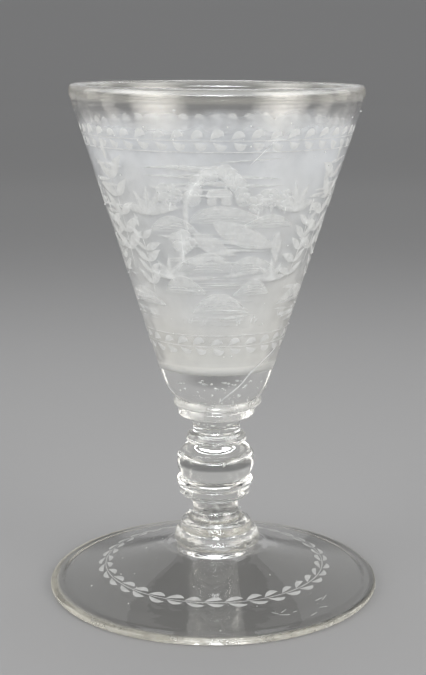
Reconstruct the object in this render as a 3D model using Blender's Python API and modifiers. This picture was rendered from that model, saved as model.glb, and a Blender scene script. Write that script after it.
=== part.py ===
"""A stemmed drinking glass of blown soda glass, built from its separate gathers of glass.

Run with: blender --background --python part.py
Units are metres and +Z is up. The origin is the centre of the ring that the foot rests on.

The glassmaker stacks the pieces hot on one axis: foot, boss, stem base, two collar rings,
ball knop, ring knop, neck, two more collar rings, and the bowl. Each piece is its own closed
solid here, and neighbours keep JOINT_GAP between them at the planes where they are fused.
"""

import math

import bpy

MM = 0.001

# Whole glass
TOTAL_HEIGHT = 197.0 * MM
JOINT_GAP = 0.3 * MM

# Heights of the planes where one piece is fused to the next
FOOT_JOINT = 16.75 * MM
BOSS_JOINT = 22.8 * MM
STEM_BASE_JOINT = 34.5 * MM
LOWER_COLLAR_MIDDLE = 40.7 * MM
LOWER_COLLAR_JOINT = 44.4 * MM
BALL_KNOP_JOINT = 57.7 * MM
RING_KNOP_JOINT = 62.6 * MM
UPPER_NECK_JOINT = 68.3 * MM
UPPER_COLLAR_MIDDLE = 72.9 * MM
BOWL_JOINT = 76.6 * MM

# Bowl: a straight cone outside, rounded in at its seat, with a rounded rim
BOWL_SEAT_RADIUS = 16.1 * MM
BOWL_BASE_ROUNDING = 3.2
BOWL_CONE_START_HEIGHT = 85.2 * MM
BOWL_CONE_START_RADIUS = 21.3 * MM
BOWL_CONE_SLOPE = 0.3172
RIM_RADIUS = 55.7 * MM
RIM_WIDEST_BELOW_TOP = 2.5 * MM
RIM_TOP_WIDTH = 2.6 * MM
RIM_BEAD_HEIGHT = 7.0 * MM
CAVITY_FLOOR_HEIGHT = 88.8 * MM
CAVITY_FLOOR_RADIUS = 15.2 * MM
CAVITY_CORNER = 3.6 * MM
CAVITY_DISH = 0.8 * MM
WALL_THICKNESS_LOW = 3.6 * MM
WALL_THICKNESS_HIGH = 2.2 * MM

# Foot: a low cone with a thick fire-polished edge, hollow underneath
FOOT_RADIUS = 65.2 * MM
FOOT_EDGE_THICKNESS = 2.8 * MM
FOOT_SLOPE_AT_EDGE = 0.208
FOOT_CURL_PER_METRE = 1.934
FOOT_TOP_RADIUS = 16.3 * MM
FOOT_WALL_AT_EDGE = 2.8 * MM
FOOT_WALL_AT_CENTRE = 4.6 * MM
FOOT_RESTING_WIDTH = 3.4 * MM
FOOT_RESTING_STEP = 1.2 * MM
PONTIL_RADIUS = 7.0 * MM
PONTIL_RISE = 0.4 * MM
PONTIL_DEPTH = 0.6 * MM

# Turning: how many flats stand for a full circle, and for each curve in an outline
WIDE_PIECE_STEPS = 64
STEM_PIECE_STEPS = 36
ARC_STEPS = 5
FOOT_SLOPE_STEPS = 6

COLLECTION_NAME = "stemmed_glass"


def clear_scene():
    for obj in list(bpy.data.objects):
        bpy.data.objects.remove(obj, do_unlink=True)


def new_collection(name):
    collection = bpy.data.collections.new(name)
    bpy.context.scene.collection.children.link(collection)
    return collection


def glass(name, colour, roughness):
    """Clear glass: the gathers differ a little in tint, and in how worn their surface is."""
    material = bpy.data.materials.new(name)
    material.use_nodes = True
    shader = material.node_tree.nodes["Principled BSDF"]
    shader.inputs["Base Color"].default_value = (*colour, 1.0)
    shader.inputs["Roughness"].default_value = roughness
    shader.inputs["Metallic"].default_value = 0.0
    shader.inputs["IOR"].default_value = 1.5
    shader.inputs["Transmission Weight"].default_value = 1.0
    return material


def arc(centre, radii, start, end, steps=ARC_STEPS):
    """Points on an ellipse around centre, from one angle to another, in degrees from +X."""
    points = []
    for step in range(steps + 1):
        angle = math.radians(start + (end - start) * step / steps)
        points.append((centre[0] + radii[0] * math.cos(angle), centre[1] + radii[1] * math.sin(angle)))
    return points


def belly_arc(belly, end, sweep):
    """An elliptical arc that leaves a belly upright and turns through sweep degrees to its end."""
    turn = math.radians(sweep)
    across = (belly[0] - end[0]) / (1 - math.cos(turn))
    up = (end[1] - belly[1]) / math.sin(turn)
    return arc((belly[0] - across, belly[1]), (across, up), 0, sweep)


def bead(top, belly, bottom, top_sweep=90, bottom_sweep=90):
    """The outer side of a rounded ring, from its top edge out to its belly and in to its bottom edge.

    A sweep of 90 degrees ends level; a smaller one leaves that side as a slope.
    """
    upper = belly_arc(belly, top, top_sweep)
    lower = belly_arc(belly, bottom, bottom_sweep)
    return upper[::-1] + lower[1:]


def between(top_joint, bottom_joint):
    """The top and bottom of a piece that fills the space between two joints."""
    return top_joint - JOINT_GAP / 2, bottom_joint + JOINT_GAP / 2


def solid(side):
    """A whole outline from its outer side: from the axis, down the side, and back to the axis."""
    return [(0.0, side[0][1])] + side + [(0.0, side[-1][1])]


def turned(name, outline, material, steps):
    """Spins an outline, given as radius and height pairs, once around the Z axis."""
    mesh = bpy.data.meshes.new(name)
    points = [(radius, 0.0, height) for radius, height in outline]
    edges = [(index, index + 1) for index in range(len(points) - 1)]
    mesh.from_pydata(points, edges, [])
    mesh.materials.append(material)
    piece = bpy.data.objects.new(name, mesh)
    screw = piece.modifiers.new("turn", "SCREW")
    screw.axis = "Z"
    screw.angle = math.tau
    screw.steps = steps
    screw.render_steps = steps
    screw.use_merge_vertices = True
    screw.merge_threshold = 0.00001
    screw.use_smooth_shade = True
    return piece


def cone_radius(height):
    """The outer radius of the bowl's straight cone at a height."""
    return BOWL_CONE_START_RADIUS + BOWL_CONE_SLOPE * (height - BOWL_CONE_START_HEIGHT)


def wall_thickness(height):
    """The bowl's wall, measured level, thins evenly from its floor to its rim."""
    share = (height - CAVITY_FLOOR_HEIGHT) / (TOTAL_HEIGHT - CAVITY_FLOOR_HEIGHT)
    return WALL_THICKNESS_LOW + (WALL_THICKNESS_HIGH - WALL_THICKNESS_LOW) * share


def cavity_outline():
    """The inside of the bowl, from the middle of its floor up to just below the rim."""
    corner_height = CAVITY_FLOOR_HEIGHT + CAVITY_DISH + CAVITY_CORNER
    wall_foot = cone_radius(corner_height) - wall_thickness(corner_height)
    floor = [(0.0, CAVITY_FLOOR_HEIGHT), (CAVITY_FLOOR_RADIUS * 0.6, CAVITY_FLOOR_HEIGHT + CAVITY_DISH * 0.36)]
    corner_centre = (CAVITY_FLOOR_RADIUS, corner_height)
    corner = arc(corner_centre, (wall_foot - CAVITY_FLOOR_RADIUS, CAVITY_CORNER), -90, 0, 4)
    wall_top = TOTAL_HEIGHT - RIM_BEAD_HEIGHT
    wall = [(cone_radius(wall_top) - wall_thickness(wall_top), wall_top)]
    return floor + corner + wall


def rim_outline():
    """The rim: a bead that swells a little on both sides of the wall and rounds over the top."""
    widest = TOTAL_HEIGHT - RIM_WIDEST_BELOW_TOP
    centre = (RIM_RADIUS - RIM_TOP_WIDTH / 2, widest)
    over_the_top = arc(centre, (RIM_TOP_WIDTH / 2, RIM_WIDEST_BELOW_TOP), 180, 0, 8)
    under_the_bead = [(cone_radius(TOTAL_HEIGHT - RIM_BEAD_HEIGHT), TOTAL_HEIGHT - RIM_BEAD_HEIGHT)]
    return over_the_top + under_the_bead


def bowl_base_outline():
    """The bowl's outer side below the cone: it rounds in towards the seat on the collar."""
    seat = BOWL_JOINT + JOINT_GAP / 2
    height = BOWL_CONE_START_HEIGHT - seat
    rounding = BOWL_CONE_START_RADIUS - BOWL_SEAT_RADIUS - BOWL_CONE_SLOPE * height
    points = []
    for step in range(ARC_STEPS + 1):
        share = math.sin(math.pi / 2 * step / ARC_STEPS)
        inward = BOWL_CONE_SLOPE * height * share + rounding * share**BOWL_BASE_ROUNDING
        points.append((BOWL_CONE_START_RADIUS - inward, BOWL_CONE_START_HEIGHT - height * share))
    return points + [(0.0, seat)]


def make_bowl():
    outline = cavity_outline() + rim_outline() + bowl_base_outline()
    return turned("bowl", outline, glass("bowl_glass", (0.93, 0.94, 0.90), 0.08), WIDE_PIECE_STEPS)


def make_upper_collar_top_ring():
    top, bottom = between(BOWL_JOINT, UPPER_COLLAR_MIDDLE)
    side = bead((16.0 * MM, top), (17.2 * MM, 74.6 * MM), (14.2 * MM, bottom))
    material = glass("upper_collar_top_ring_glass", (0.93, 0.93, 0.88), 0.05)
    return turned("upper_collar_top_ring", solid(side), material, STEM_PIECE_STEPS)


def make_upper_collar_bottom_ring():
    top, bottom = between(UPPER_COLLAR_MIDDLE, UPPER_NECK_JOINT)
    side = bead((14.2 * MM, top), (14.95 * MM, 70.1 * MM), (9.4 * MM, bottom), bottom_sweep=77)
    material = glass("upper_collar_bottom_ring_glass", (0.93, 0.93, 0.88), 0.05)
    return turned("upper_collar_bottom_ring", solid(side), material, STEM_PIECE_STEPS)


def make_upper_neck():
    """A short waist between the collar and the ring knop."""
    top, bottom = between(UPPER_NECK_JOINT, RING_KNOP_JOINT)
    waist = 9.3 * MM
    end_radius = 9.6 * MM
    end_height = 0.9 * MM
    side = [(end_radius, top), (waist, top - end_height), (waist, bottom + end_height), (end_radius, bottom)]
    material = glass("upper_neck_glass", (0.91, 0.92, 0.88), 0.05)
    return turned("upper_neck", solid(side), material, STEM_PIECE_STEPS)


def make_ring_knop():
    top, bottom = between(RING_KNOP_JOINT, BALL_KNOP_JOINT)
    belly = (11.9 * MM, 59.6 * MM)
    side = bead((9.5 * MM, top), belly, (9.6 * MM, bottom), top_sweep=68, bottom_sweep=52)
    material = glass("ring_knop_glass", (0.92, 0.92, 0.88), 0.05)
    return turned("ring_knop", solid(side), material, STEM_PIECE_STEPS)


def make_ball_knop():
    """The main knop of the stem, a squat ball."""
    top, bottom = between(BALL_KNOP_JOINT, LOWER_COLLAR_JOINT)
    belly = (15.4 * MM, 51.4 * MM)
    side = bead((9.6 * MM, top), belly, (13.1 * MM, bottom), top_sweep=66, bottom_sweep=60)
    material = glass("ball_knop_glass", (0.91, 0.91, 0.87), 0.05)
    return turned("ball_knop", solid(side), material, STEM_PIECE_STEPS)


def make_lower_collar_top_ring():
    top, bottom = between(LOWER_COLLAR_JOINT, LOWER_COLLAR_MIDDLE)
    side = bead((13.1 * MM, top), (15.05 * MM, 42.2 * MM), (13.5 * MM, bottom))
    material = glass("lower_collar_top_ring_glass", (0.93, 0.93, 0.88), 0.05)
    return turned("lower_collar_top_ring", solid(side), material, STEM_PIECE_STEPS)


def make_lower_collar_bottom_ring():
    top, bottom = between(LOWER_COLLAR_MIDDLE, STEM_BASE_JOINT)
    side = bead((13.4 * MM, top), (13.95 * MM, 38.3 * MM), (9.1 * MM, bottom), bottom_sweep=42)
    material = glass("lower_collar_bottom_ring_glass", (0.93, 0.93, 0.88), 0.05)
    return turned("lower_collar_bottom_ring", solid(side), material, STEM_PIECE_STEPS)


def make_stem_base():
    """The lower neck, which flares through a hollow curve to the edge of a shoulder."""
    top, bottom = between(STEM_BASE_JOINT, BOSS_JOINT)
    neck_radius = 9.0 * MM
    flare_start = 31.9 * MM
    shoulder_radius = 13.9 * MM
    shoulder_height = 25.3 * MM
    shoulder_round = 0.7 * MM
    flare_across = shoulder_radius - shoulder_round - neck_radius
    flare_down = flare_start - shoulder_height - shoulder_round
    neck = [(9.1 * MM, top)]
    flare = arc((neck_radius + flare_across, flare_start), (flare_across, flare_down), 180, 270)
    shoulder_centre = (shoulder_radius - shoulder_round, shoulder_height)
    shoulder = arc(shoulder_centre, (shoulder_round, shoulder_round), 75, 0, 3)
    side = neck + flare + shoulder + [(14.4 * MM, bottom)]
    material = glass("stem_base_glass", (0.92, 0.92, 0.88), 0.05)
    return turned("stem_base", solid(side), material, STEM_PIECE_STEPS)


def make_foot_boss():
    """The round pad that joins the stem to the middle of the foot."""
    top, bottom = between(BOSS_JOINT, FOOT_JOINT)
    side = bead((14.4 * MM, top), (17.0 * MM, 18.4 * MM), (16.0 * MM, bottom))
    material = glass("foot_boss_glass", (0.93, 0.92, 0.87), 0.05)
    return turned("foot_boss", solid(side), material, STEM_PIECE_STEPS)


def foot_top_height(radius):
    """The foot's upper side: a low cone that steepens towards the stem."""
    from_edge = FOOT_RADIUS - FOOT_EDGE_THICKNESS / 2 - radius
    return FOOT_EDGE_THICKNESS + FOOT_SLOPE_AT_EDGE * from_edge + FOOT_CURL_PER_METRE * from_edge**2


def foot_underside_height(radius):
    """The foot's hollow underside follows its upper side, and the glass thickens to the middle."""
    share = radius / FOOT_RADIUS
    wall = FOOT_WALL_AT_CENTRE + (FOOT_WALL_AT_EDGE - FOOT_WALL_AT_CENTRE) * share
    return foot_top_height(radius) - wall


def foot_upper_side():
    """The level seat under the boss, and the slope from it down to the edge."""
    outer = FOOT_RADIUS - FOOT_EDGE_THICKNESS / 2
    points = [(0.0, FOOT_JOINT - JOINT_GAP / 2), (FOOT_TOP_RADIUS, FOOT_JOINT - JOINT_GAP / 2)]
    for step in range(1, FOOT_SLOPE_STEPS):
        radius = FOOT_TOP_RADIUS + (outer - FOOT_TOP_RADIUS) * step / FOOT_SLOPE_STEPS
        points.append((radius, foot_top_height(radius)))
    return points


def foot_lower_side():
    """The level ring that the glass stands on, the hollow inside it, and the pontil scar."""
    resting_inner = FOOT_RADIUS - FOOT_EDGE_THICKNESS / 2 - FOOT_RESTING_WIDTH
    hollow_outer = resting_inner - FOOT_RESTING_STEP
    points = [(resting_inner, 0.0)]
    for step in range(FOOT_SLOPE_STEPS):
        radius = hollow_outer + (FOOT_TOP_RADIUS - hollow_outer) * step / (FOOT_SLOPE_STEPS - 1)
        points.append((radius, foot_underside_height(radius)))
    ceiling = points[-1][1] + PONTIL_RISE
    scar = [(PONTIL_RADIUS, ceiling), (PONTIL_RADIUS * 0.8, ceiling + PONTIL_DEPTH)]
    return points + scar + [(0.0, ceiling + PONTIL_DEPTH)]


def make_foot():
    edge_round = FOOT_EDGE_THICKNESS / 2
    edge = arc((FOOT_RADIUS - edge_round, edge_round), (edge_round, edge_round), 78, -90, 6)
    outline = foot_upper_side() + edge + foot_lower_side()
    return turned("foot", outline, glass("foot_glass", (0.92, 0.93, 0.89), 0.06), WIDE_PIECE_STEPS)


MAKERS = (
    make_foot,
    make_foot_boss,
    make_stem_base,
    make_lower_collar_bottom_ring,
    make_lower_collar_top_ring,
    make_ball_knop,
    make_ring_knop,
    make_upper_neck,
    make_upper_collar_bottom_ring,
    make_upper_collar_top_ring,
    make_bowl,
)


def main():
    clear_scene()
    parts = new_collection(COLLECTION_NAME)
    for make in MAKERS:
        parts.objects.link(make())


main()
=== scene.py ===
"""Looks for the stemmed drinking glass: clear hand-blown glass, hazed inside and wheel engraved outside.

Every visible piece of glass is turned again here at a finer step than in the CAD model, from the
same joints, and stands for one CAD node. Neighbouring pieces meet exactly, so that light passes
from one to the next as it does where real glass is fused. Units are metres.
"""

import math
import random
from collections import namedtuple
from functools import partial

import bmesh
import bpy
from mathutils import Euler, Matrix, Vector, noise
from mathutils.geometry import delaunay_2d_cdt


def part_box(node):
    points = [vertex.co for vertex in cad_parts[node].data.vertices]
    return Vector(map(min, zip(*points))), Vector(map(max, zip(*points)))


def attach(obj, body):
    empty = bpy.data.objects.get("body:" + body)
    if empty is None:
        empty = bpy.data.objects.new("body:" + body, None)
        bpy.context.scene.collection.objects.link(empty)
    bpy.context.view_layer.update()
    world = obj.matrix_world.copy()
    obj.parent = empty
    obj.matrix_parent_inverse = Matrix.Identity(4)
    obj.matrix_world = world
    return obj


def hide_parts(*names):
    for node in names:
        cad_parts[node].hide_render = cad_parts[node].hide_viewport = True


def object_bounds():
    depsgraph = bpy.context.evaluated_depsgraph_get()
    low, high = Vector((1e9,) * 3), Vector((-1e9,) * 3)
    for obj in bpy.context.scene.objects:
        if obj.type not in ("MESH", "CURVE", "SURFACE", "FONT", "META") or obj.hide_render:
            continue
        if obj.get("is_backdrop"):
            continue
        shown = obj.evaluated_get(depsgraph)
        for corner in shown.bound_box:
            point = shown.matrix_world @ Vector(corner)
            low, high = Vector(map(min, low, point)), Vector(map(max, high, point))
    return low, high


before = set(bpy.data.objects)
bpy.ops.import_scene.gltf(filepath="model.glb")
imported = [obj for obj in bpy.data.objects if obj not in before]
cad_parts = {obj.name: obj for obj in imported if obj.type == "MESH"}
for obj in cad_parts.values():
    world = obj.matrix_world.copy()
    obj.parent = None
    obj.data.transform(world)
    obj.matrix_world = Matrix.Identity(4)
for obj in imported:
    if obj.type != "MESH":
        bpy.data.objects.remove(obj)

MM = 0.001
CAD_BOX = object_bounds()

# Camera, at the height, distance and tilt from which the glass is seen
CAMERA_DISTANCE = 532.4 * MM
CAMERA_HEIGHT = 212.9 * MM
CAMERA_SIDE = -1.3 * MM
CAMERA_PITCH = math.radians(12.0)
CAMERA_LENS = 74.45

# Studio: a sweep of grey paper under soft boxes, in a dark room
FLOOR_FLAT = 4.2
SWEEP_CURVE = 0.8
SWEEP_HEIGHT = 4.6
FLOOR_COLOUR = (0.28, 0.28, 0.286)
ROOM_COLOUR = (0.03, 0.03, 0.031)
FAR_GLOW = 0.105
FAR_GLOW_RANGE = (0.5, 1.6)
WALL_GLOW = 0.24
WALL_GLOW_RANGE = (0.32, 0.90)
WARM = (1.0, 0.97, 0.915)
COOL = (0.95, 0.98, 1.0)
# Each soft box: name, azimuth, distance, height, width, tallness, radiance, spread and colour
SOFT_BOXES = (
    ("front_left_box", -63, 1.35, 0.62, 1.48, 1.15, 0.93, 60, WARM),
    ("front_right_box", 57, 1.35, 0.62, 1.48, 1.15, 0.93, 60, WARM),
    ("front_fill_box", 0, 1.45, 0.28, 2.20, 0.18, 2.90, 60, COOL),
    ("back_left_box", -112, 1.45, 0.40, 0.45, 0.80, 0.20, 60, WARM),
    ("back_right_box", 112, 1.45, 0.40, 0.45, 0.80, 0.20, 60, WARM),
    ("top_back_box", 180, 0.90, 1.10, 0.16, 0.40, 0.85, 80, COOL),
    ("top_box", 180, 0.20, 1.70, 1.40, 1.40, 0.60, 80, COOL),
)

# Pieces in their order on the axis from the floor up, each listed with a slot name that nothing here reads
SLOTS = {
    "foot": "foot_glass",
    "foot_boss": "foot_glass",
    "stem_base": "knop_glass",
    "lower_collar_bottom_ring": "collar_glass",
    "lower_collar_top_ring": "collar_glass",
    "ball_knop": "knop_glass",
    "ring_knop": "knop_glass",
    "upper_neck": "knop_glass",
    "upper_collar_bottom_ring": "collar_glass",
    "upper_collar_top_ring": "collar_glass",
    "bowl": "bowl_glass",
}
STACK = tuple(SLOTS)

# How finely the glass is turned, and the radius within which its unevenness dies away
WIDE_SEGMENTS = 224
STEM_SEGMENTS = 144
ARC_STEPS = 12
EVEN_CORE = 10 * MM

# Bowl
TOTAL_HEIGHT = CAD_BOX[1].z
CONE_START_HEIGHT = 85.2 * MM
CONE_START_RADIUS = 21.3 * MM
CONE_SLOPE = 0.3172
BASE_ROUNDING = 3.2
SEAT_RADIUS = 16.1 * MM
RIM_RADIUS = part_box("bowl")[1].x
RIM_WIDEST_BELOW_TOP = 2.5 * MM
RIM_WIDTH = 2.6 * MM
RIM_BEAD_HEIGHT = 7.0 * MM
WALL_TOP = TOTAL_HEIGHT - RIM_BEAD_HEIGHT
FLOOR_HEIGHT = 88.8 * MM
FLOOR_RADIUS = 15.2 * MM
FLOOR_DISH = 0.8 * MM
FLOOR_CORNER = 3.6 * MM
WALL_LOW = 3.6 * MM
WALL_HIGH = 2.2 * MM

# Foot
FOOT_RADIUS = 65.2 * MM
FOOT_EDGE = 2.8 * MM
FOOT_SLOPE = 0.208
FOOT_CURL = 1.934
FOOT_SEAT_RADIUS = 16.0 * MM
FOOT_SEAT_EASE = 5.0 * MM
FOOT_WALL_EDGE = 2.8 * MM
FOOT_WALL_CENTRE = 4.6 * MM
RESTING_WIDTH = 1.4 * MM
RESTING_EASE = 4.0 * MM
PONTIL_RADIUS = 7.0 * MM
PONTIL_RISE = 0.4 * MM
PONTIL_DEPTH = 0.6 * MM

# Rounded rings of the stem: the radius at the top, the height of the belly, the radius at the bottom,
# and the degrees that the side turns through above the belly and below it
BEADS = {
    "upper_collar_top_ring": (SEAT_RADIUS, 74.6 * MM, 14.2 * MM, 90, 90),
    "upper_collar_bottom_ring": (14.2 * MM, 70.1 * MM, 9.5 * MM, 90, 77),
    "ring_knop": (9.5 * MM, 59.6 * MM, 9.6 * MM, 68, 52),
    "ball_knop": (9.6 * MM, 51.4 * MM, 13.1 * MM, 66, 60),
    "lower_collar_top_ring": (13.1 * MM, 42.2 * MM, 13.45 * MM, 90, 90),
    "lower_collar_bottom_ring": (13.45 * MM, 38.3 * MM, 9.1 * MM, 90, 42),
    "foot_boss": (14.4 * MM, 18.4 * MM, FOOT_SEAT_RADIUS, 90, 90),
}

# Where hand work left each height of the axis, to the right of a straight line
LEAN = (
    (0.0, -1.2 * MM),
    (6.0 * MM, -1.0 * MM),
    (17.0 * MM, 0.3 * MM),
    (32.0 * MM, -0.3 * MM),
    (39.0 * MM, -0.7 * MM),
    (51.0 * MM, -0.2 * MM),
    (60.0 * MM, 0.0),
    (70.0 * MM, 0.0),
    (75.0 * MM, 0.5 * MM),
    (84.0 * MM, 0.1 * MM),
    (197.0 * MM, 0.2 * MM),
)
RIM_TILT = 0.006
TILT_START = 90.0 * MM

# Clear glass: tints, how finely its surface waves, and what it lets through of the light of a lamp
BOWL_TINT = (0.985, 0.98, 0.965)
STEM_TINT = (0.97, 0.97, 0.945)
FOOT_TINT = (0.985, 0.985, 0.972)
WAVES_PER_METRE = 90.0
WRINKLES_PER_METRE = 240.0
WAVE_DEPTH = 0.4 * MM
GLASS_IOR = 1.5
LAMP_LIGHT_THROUGH = (0.965, 0.965, 0.96, 1.0)

# Haze inside the bowl: the heights where it runs out, its share of the light, and where it is thinner
HAZE_TOP_END = 191.0 * MM
HAZE_TOP_START = 181.5 * MM
HAZE_RUNS = 7.0 * MM
HAZE_MOST = 0.70
HAZE_THIN = 0.46
HAZE_THIN_START = 114.0 * MM
HAZE_THIN_END = 103.0 * MM
HAZE_HIGH_COLOUR = (0.80, 0.83, 0.89, 1.0)
HAZE_LOW_COLOUR = (0.965, 0.955, 0.925, 1.0)

# A white ring round the bowl's floor, partly deposit and partly painted light
DEPOSIT_AND_PAINTED_LIGHT_START = FLOOR_HEIGHT + 1.5 * MM
DEPOSIT_AND_PAINTED_LIGHT_END = FLOOR_HEIGHT + 6.5 * MM
DEPOSIT_AND_PAINTED_LIGHT_MOST = 0.94
DEPOSIT_AND_PAINTED_LIGHT_THROUGH = 0.45
DEPOSIT_AND_PAINTED_LIGHT_COLOUR = (0.98, 0.975, 0.955, 1.0)

# Films on the rim and foot edge, partly wear from handling and partly painted light, and a film of painted
# light on the upper collar
RIM_WEAR_AND_PAINTED_LIGHT = 0.06
RIM_WEAR_AND_PAINTED_LIGHT_START = 190.5 * MM
RIM_WEAR_AND_PAINTED_LIGHT_END = 194.5 * MM
FOOT_EDGE_WEAR_AND_PAINTED_LIGHT = 0.42
FOOT_EDGE_WEAR_AND_PAINTED_LIGHT_START = 62.6 * MM
FOOT_EDGE_WEAR_AND_PAINTED_LIGHT_END = 64.6 * MM
WEAR_AND_PAINTED_LIGHT_COLOUR = (0.90, 0.87, 0.76, 1.0)
# White film on the upper collar: painted light
COLLAR_PAINTED_LIGHT = 0.46
COLLAR_PAINTED_LIGHT_COLOUR = (0.97, 0.97, 0.95, 1.0)

# Ground glass
CUT_SHADE = (0.90, 0.92, 0.94, 1.0)
CUT_LIGHT = (0.98, 0.98, 0.96, 1.0)

# Engraving, drawn in millimetres
CUT_DEPTH = 0.05
THINNEST_CUT = 0.06
PATCH_GRID = 1.6
VINE_WIDTH = 0.32
LINE_WIDTH = 0.34
HATCH_WIDTH = 0.26
FOOT_GARLAND_RADIUS = 43.5


# ---------------- shape of the axis and surface


def smooth(share):
    share = min(max(share, 0.0), 1.0)
    return share * share * (3 - 2 * share)


def lean(height):
    for (low, low_shift), (high, high_shift) in zip(LEAN, LEAN[1:]):
        if height <= high:
            return low_shift + (high_shift - low_shift) * smooth((height - low) / (high - low))
    return LEAN[-1][1]


def hand_shaped(point):
    """Moves a point of the ideal turned glass to where the hand-made one has it."""
    tilt = RIM_TILT * smooth((point.z - TILT_START) / (TOTAL_HEIGHT - TILT_START))
    return Vector((point.x + lean(point.z), point.y, point.z - tilt * point.x))


def glass_point(angle, reach, height):
    """The point at this angle, distance from the axis and height, where hand work left it."""
    return hand_shaped(Vector((reach * math.cos(angle), reach * math.sin(angle), height)))


def ripple(angle, height, seed, size, across, along):
    """A slow unevenness of a blown surface: across waves round the axis, along waves per metre up it."""
    where = Vector((math.cos(angle) * across + seed, math.sin(angle) * across, height * along + seed))
    return size * noise.noise(where)


def unevenness(angle, height, inside):
    """How far the surface stands out from its ideal radius."""
    seed = 7.3 if inside else 1.7
    slow = ripple(angle, height, seed, 0.10 * MM, 1.3, 40.0)
    tool_lines = ripple(angle, height, seed + 20, 0.020 * MM, 0.7, 700.0)
    return slow + tool_lines


# ---------------- outlines


def arc(centre, radii, start, end, steps=ARC_STEPS):
    """Points on an ellipse around centre, from one angle to another, in degrees from +X."""
    points = []
    for step in range(steps + 1):
        angle = math.radians(start + (end - start) * step / steps)
        points.append((centre[0] + radii[0] * math.cos(angle), centre[1] + radii[1] * math.sin(angle)))
    return points


def belly_arc(belly, end, sweep):
    """An elliptical arc that leaves a belly upright and turns through sweep degrees to its end."""
    turn = math.radians(sweep)
    across = (belly[0] - end[0]) / (1 - math.cos(turn))
    up = (end[1] - belly[1]) / math.sin(turn)
    return arc((belly[0] - across, belly[1]), (across, up), 0, sweep)


def bead(top, belly, bottom, top_sweep, bottom_sweep):
    """The outer side of a rounded ring, from its top edge out to its belly and in to its bottom edge."""
    return belly_arc(belly, top, top_sweep)[::-1] + belly_arc(belly, bottom, bottom_sweep)[1:]


def line(start, end, steps):
    """Evenly spaced points from start to end."""
    points = []
    for step in range(steps + 1):
        share = step / steps
        points.append((start[0] + (end[0] - start[0]) * share, start[1] + (end[1] - start[1]) * share))
    return points


def ease(start, end, steps):
    """A gentle S from start to end, upright at both."""
    points = []
    for step in range(steps + 1):
        share = step / steps
        across = start[0] + (end[0] - start[0]) * smooth(share)
        points.append((across, start[1] + (end[1] - start[1]) * share))
    return points


def joint_above(node):
    """The height of the plane where a piece is fused to the next one up."""
    upper = STACK[STACK.index(node) + 1]
    return (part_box(node)[1].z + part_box(upper)[0].z) / 2


def joint_below(node):
    return joint_above(STACK[STACK.index(node) - 1])


def cone_radius(height):
    """The outer radius of the bowl's straight cone at a height."""
    return CONE_START_RADIUS + CONE_SLOPE * (height - CONE_START_HEIGHT)


def bowl_radius(height):
    """The outer radius of the bowl, which rounds in below its cone to its seat on the collar."""
    if height >= CONE_START_HEIGHT:
        return cone_radius(height)
    drop = CONE_START_HEIGHT - joint_below("bowl")
    share = (CONE_START_HEIGHT - height) / drop
    rounding = CONE_START_RADIUS - SEAT_RADIUS - CONE_SLOPE * drop
    return CONE_START_RADIUS - CONE_SLOPE * drop * share - rounding * share**BASE_ROUNDING


def wall(height):
    share = (height - FLOOR_HEIGHT) / (TOTAL_HEIGHT - FLOOR_HEIGHT)
    return WALL_LOW + (WALL_HIGH - WALL_LOW) * share


def cavity_outline():
    """The inside of the bowl, from the middle of its floor up to just below the rim."""
    corner_height = FLOOR_HEIGHT + FLOOR_DISH + FLOOR_CORNER
    wall_foot = cone_radius(corner_height) - wall(corner_height)
    floor = []
    for step in range(6):
        radius = FLOOR_RADIUS * step / 6
        floor.append((radius, FLOOR_HEIGHT + FLOOR_DISH * (radius / FLOOR_RADIUS) ** 2))
    corner = arc((FLOOR_RADIUS, corner_height), (wall_foot - FLOOR_RADIUS, FLOOR_CORNER), -90, 0)
    side = line(corner[-1], (cone_radius(WALL_TOP) - wall(WALL_TOP), WALL_TOP), 60)
    return floor + corner + side[1:]


def rim_outline():
    """The rim bead, from the inner wall over the top and down to the outer wall."""
    widest = TOTAL_HEIGHT - RIM_WIDEST_BELOW_TOP
    centre = (RIM_RADIUS - RIM_WIDTH / 2, widest)
    over = arc(centre, (RIM_WIDTH / 2, RIM_WIDEST_BELOW_TOP), 180, 0, 24)
    inner_start = (cone_radius(WALL_TOP) - wall(WALL_TOP), WALL_TOP)
    outer_end = (cone_radius(WALL_TOP), WALL_TOP)
    inner = ease(inner_start, over[0], 6)[1:-1]
    outer = ease(over[-1], outer_end, 6)[1:]
    return inner + over + outer


def bowl_side_outline():
    """The outside of the bowl from under the rim down to its seat on the collar."""
    outline = line((cone_radius(WALL_TOP), WALL_TOP), (CONE_START_RADIUS, CONE_START_HEIGHT), 60)[1:]
    drop = CONE_START_HEIGHT - joint_below("bowl")
    for step in range(1, 17):
        height = CONE_START_HEIGHT - drop * math.sin(math.pi / 2 * step / 16)
        outline.append((bowl_radius(height), height))
    return outline


def foot_top_height(radius):
    """The foot's upper side: a low cone that steepens towards the stem."""
    from_edge = FOOT_RADIUS - FOOT_EDGE / 2 - radius
    return FOOT_EDGE + FOOT_SLOPE * from_edge + FOOT_CURL * from_edge**2


def foot_underside_height(radius):
    share = radius / FOOT_RADIUS
    return foot_top_height(radius) - FOOT_WALL_CENTRE - (FOOT_WALL_EDGE - FOOT_WALL_CENTRE) * share


# ---------------- turning a mesh


def linked_object(name, shape):
    """An object in the scene with this shape, which is used up."""
    mesh = bpy.data.meshes.new(name)
    shape.to_mesh(mesh)
    shape.free()
    piece = bpy.data.objects.new(name, mesh)
    bpy.context.scene.collection.objects.link(piece)
    return piece


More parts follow.
